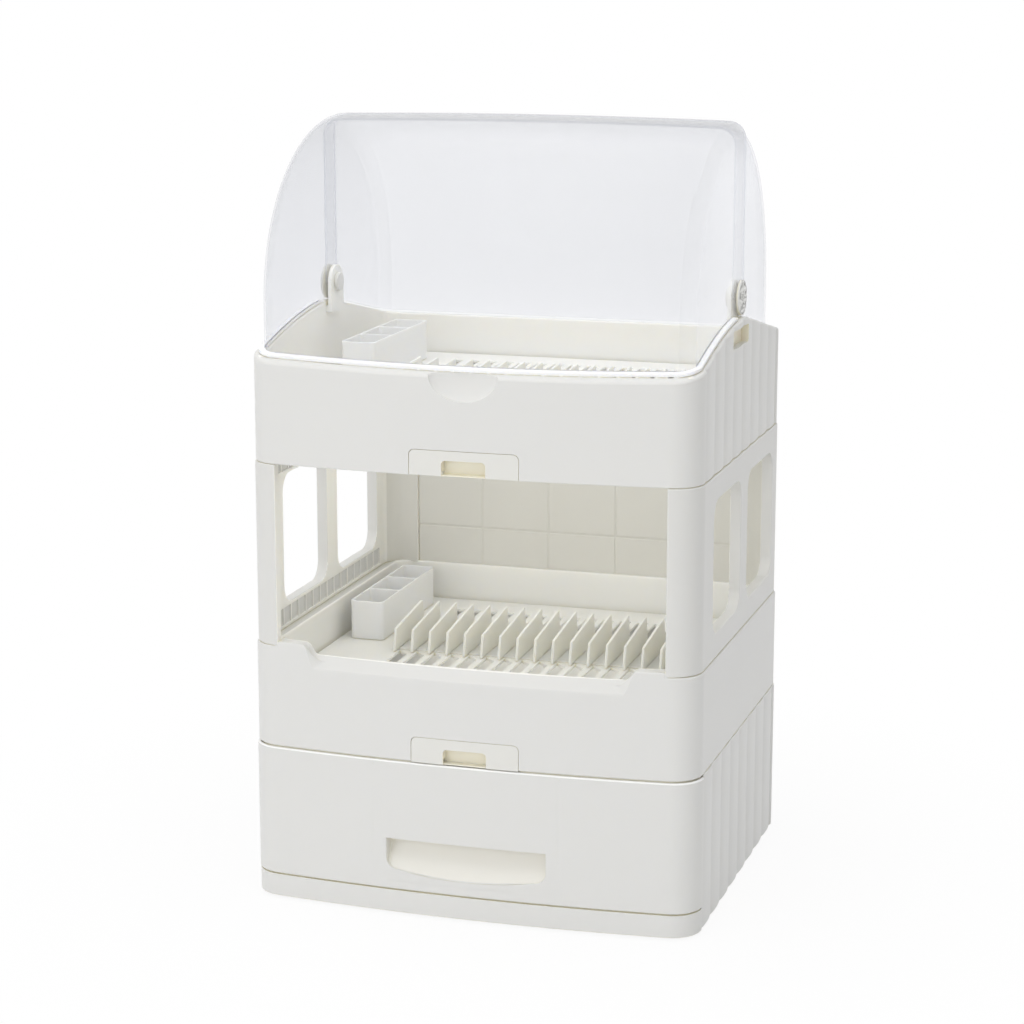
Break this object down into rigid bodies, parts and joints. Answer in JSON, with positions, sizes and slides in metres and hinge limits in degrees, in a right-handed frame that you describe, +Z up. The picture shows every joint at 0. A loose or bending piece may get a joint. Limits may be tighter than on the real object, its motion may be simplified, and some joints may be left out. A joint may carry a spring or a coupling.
{
  "type": "covered dish drainer",
  "caption": "Covered dish drainer with a drawer base, stacked trays with finned racks, cutlery caddies and pull-out drip trays, a windowed frame and a clear hood that opens from front or rear.",
  "frame": {"origin": "on the floor, in the middle of the plan", "axes": "+Z up, -Y towards the front with the drawer and the sill, +X to the right seen from the front"},
  "size_m": [0.483, 0.42, 0.8146],
  "materials": {
    "base_ivory": "satin",
    "drawer_ivory": "satin",
    "bin_cream": "satin",
    "lower_tray_ivory": "satin",
    "drip_tray_ivory": "satin",
    "rack_cream": "satin",
    "caddy_cream": "satin",
    "frame_ivory": "satin",
    "back_cream": "satin",
    "upper_tray_ivory": "satin",
    "knob_clear": "glossy, faceted",
    "cap_ivory": "satin",
    "hood_clear": "clear, glossy",
    "rubber": "matte"
  },
  "bodies": {
    "stack": {"base_housing": "base_ivory", "front_left_foot": "rubber", "front_right_foot": "rubber", "rear_left_foot": "rubber", "rear_right_foot": "rubber", "lower_tray": "lower_tray_ivory", "left_side_panel": "frame_ivory", "right_side_panel": "frame_ivory", "back_panel": "back_cream", "upper_tray": "upper_tray_ivory", "left_hinge_knob": "knob_clear", "right_hinge_knob": "knob_clear", "left_hinge_cap": "cap_ivory", "right_hinge_cap": "cap_ivory"},
    "drawer": {"drawer_front": "drawer_ivory", "drawer_bin": "bin_cream"},
    "lower_drip": {"lower_drip_tray": "drip_tray_ivory"},
    "upper_drip": {"upper_drip_tray": "drip_tray_ivory"},
    "lower_rack": {"lower_dish_rack": "rack_cream", "lower_fin_comb": "rack_cream"},
    "lower_caddy": {"lower_cutlery_caddy": "caddy_cream"},
    "upper_rack": {"upper_dish_rack": "rack_cream", "upper_fin_comb": "rack_cream"},
    "upper_caddy": {"upper_cutlery_caddy": "caddy_cream"},
    "hood_front": {"front_hood": "hood_clear"},
    "hood_rear": {"rear_hood": "hood_clear"}
  },
  "joints": [
    {"name": "drawer_slide", "type": "slide", "parent": "stack", "child": "drawer", "axis": [0, -1, 0], "range_m": [0, 0.24]},
    {"name": "lower_drip_slide", "type": "slide", "parent": "stack", "child": "lower_drip", "axis": [0, -1, 0], "range_m": [0, 0.13]},
    {"name": "upper_drip_slide", "type": "slide", "parent": "stack", "child": "upper_drip", "axis": [0, -1, 0], "range_m": [0, 0.13]},
    {"name": "lower_rack_lift", "type": "slide", "parent": "stack", "child": "lower_rack", "axis": [0, 0, 1], "range_m": [0, 0.05]},
    {"name": "lower_caddy_lift", "type": "slide", "parent": "lower_rack", "child": "lower_caddy", "axis": [0, 0, 1], "range_m": [0, 0.06]},
    {"name": "upper_rack_lift", "type": "slide", "parent": "stack", "child": "upper_rack", "axis": [0, 0, 1], "range_m": [0, 0.04]},
    {"name": "upper_caddy_lift", "type": "slide", "parent": "upper_rack", "child": "upper_caddy", "axis": [0, 0, 1], "range_m": [0, 0.06]},
    {"name": "front_hood_hinge", "type": "hinge", "parent": "stack", "child": "hood_front", "pos_m": [0, 0.022, 0.63], "axis": [-1, 0, 0], "range_deg": [0, 88]},
    {"name": "rear_hood_hinge", "type": "hinge", "parent": "stack", "child": "hood_rear", "pos_m": [0, 0.022, 0.63], "axis": [1, 0, 0], "range_deg": [0, 88]}
  ]
}
